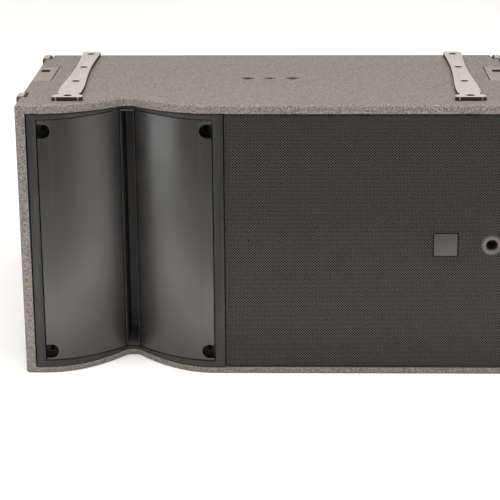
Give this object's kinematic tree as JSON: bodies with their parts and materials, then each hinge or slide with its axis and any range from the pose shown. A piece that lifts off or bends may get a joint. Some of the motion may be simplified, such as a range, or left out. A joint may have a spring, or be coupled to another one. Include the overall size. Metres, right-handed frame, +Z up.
{
  "type": "line array speaker",
  "caption": "Wedge-shaped two-way line array loudspeaker with a slotted horn between swinging fins, a woofer behind a grille, and side rigging rails, links and pins.",
  "frame": {"origin": "middle of the footprint of the bounding box, on the surface the cabinet stands on", "axes": "+X to the cabinet's right seen from the front, +Y from the front to the rear, +Z up; the bottom panel lies flat and the front leans back 5 degrees"},
  "size_m": [0.761, 0.4596, 0.4292],
  "materials": {
    "cabinet_paint": "pebble-textured grey-brown paint on plywood",
    "horn_plastic": "semi-matt black moulding",
    "collar_plastic": "matt grey-brown moulding",
    "rigging_metal": "light grey painted steel with dark edges",
    "housing_metal": "satin grey-brown painted casting",
    "bright_steel": "zinc-plated steel",
    "dark_steel": "black powder coat",
    "cast_metal": "black painted casting",
    "magnet_ceramic": "dark ferrite",
    "coil_metal": "thin formed metal",
    "button_plastic": "matt black moulding",
    "grip_rubber": "matt black rubber",
    "cone_paper": "pressed pulp, coated black",
    "black_cloth": "black acoustic cloth",
    "foam": "open-cell foam",
    "circuit_board": "green circuit board"
  },
  "bodies": {
    "cabinet": {"top_panel": "cabinet_paint", "bottom_panel": "cabinet_paint", "left_side_panel": "cabinet_paint", "right_side_panel": "cabinet_paint", "rear_panel": "cabinet_paint", "woofer_baffle": "cabinet_paint", "horn_baffle_strip": "cabinet_paint", "chamber_divider": "cabinet_paint", "horn_frame": "horn_plastic", "waveguide": "horn_plastic", "port_tube_upper": "horn_plastic", "port_tube_lower": "horn_plastic", "hf_driver_cover": "horn_plastic", "connector_in": "horn_plastic", "connector_out": "horn_plastic", "badge_plate": "horn_plastic", "grille_collar": "collar_plastic", "left_front_rail": "rigging_metal", "right_front_rail": "rigging_metal", "left_rear_rail": "rigging_metal", "right_rear_rail": "rigging_metal", "left_top_strap": "rigging_metal", "right_top_strap": "rigging_metal", "left_rig_housing": "housing_metal", "right_rig_housing": "housing_metal", "left_fin_hinge_rod": "bright_steel", "right_fin_hinge_rod": "bright_steel", "top_insert_plate": "bright_steel", "woofer_top_plate": "bright_steel", "woofer_pole_piece": "bright_steel", "grille": "dark_steel", "grille_screw": "dark_steel", "slot_mesh": "dark_steel", "connector_plate": "dark_steel", "horn_screw_left_lower": "dark_steel", "horn_screw_left_upper": "dark_steel", "horn_screw_right_lower": "dark_steel", "horn_screw_right_upper": "dark_steel", "woofer_basket": "cast_metal", "woofer_magnet": "magnet_ceramic", "hf_driver_body": "magnet_ceramic", "hf_diaphragm": "coil_metal", "left_handle_grip": "grip_rubber", "right_handle_grip": "grip_rubber", "woofer_surround": "grip_rubber", "grille_cloth": "black_cloth", "woofer_spider": "black_cloth", "damping_foam": "foam", "crossover_board": "circuit_board"},
    "left_fin": {"left_fin": "horn_plastic"},
    "right_fin": {"right_fin": "horn_plastic"},
    "woofer_cone": {"woofer_cone": "cone_paper", "woofer_dust_cap": "cone_paper", "woofer_voice_coil": "coil_metal"},
    "left_link": {"left_link_bar": "bright_steel"},
    "right_link": {"right_link_bar": "bright_steel"},
    "left_pin": {"left_lock_pin": "bright_steel"},
    "right_pin": {"right_lock_pin": "bright_steel"},
    "left_button": {"left_pin_button": "button_plastic"},
    "right_button": {"right_pin_button": "button_plastic"}
  },
  "joints": [
    {"name": "left_fin_swing", "type": "hinge", "parent": "cabinet", "child": "left_fin", "pos_m": [-0.2322, -0.15512, 0.20928], "axis": [0, 0.0872, 0.9962], "range_deg": [0, 20]},
    {"name": "right_fin_swing", "type": "hinge", "parent": "cabinet", "child": "right_fin", "pos_m": [-0.1942, -0.15512, 0.20928], "axis": [0, -0.0872, -0.9962], "range_deg": [0, 20]},
    {"name": "woofer_travel", "type": "slide", "parent": "cabinet", "child": "woofer_cone", "axis": [0, -0.9962, 0.0872], "range_m": [-0.006, 0.006], "stiffness_N_per_m": 3000, "deforming": ["woofer_surround", "woofer_spider"]},
    {"name": "left_link_slide", "type": "slide", "parent": "cabinet", "child": "left_link", "axis": [0, 0.0872, 0.9962], "range_m": [0, 0.045]},
    {"name": "left_pin_pull", "type": "slide", "parent": "cabinet", "child": "left_pin", "axis": [-1, 0, 0], "range_m": [0, 0.025]},
    {"name": "left_button_press", "type": "slide", "parent": "left_pin", "child": "left_button", "axis": [1, 0, 0], "range_m": [0, 0.003], "stiffness_N_per_m": 300},
    {"name": "right_link_slide", "type": "slide", "parent": "cabinet", "child": "right_link", "axis": [0, 0.0872, 0.9962], "range_m": [0, 0.045]},
    {"name": "right_pin_pull", "type": "slide", "parent": "cabinet", "child": "right_pin", "axis": [1, 0, 0], "range_m": [0, 0.025]},
    {"name": "right_button_press", "type": "slide", "parent": "right_pin", "child": "right_button", "axis": [-1, 0, 0], "range_m": [0, 0.003], "stiffness_N_per_m": 300}
  ]
}
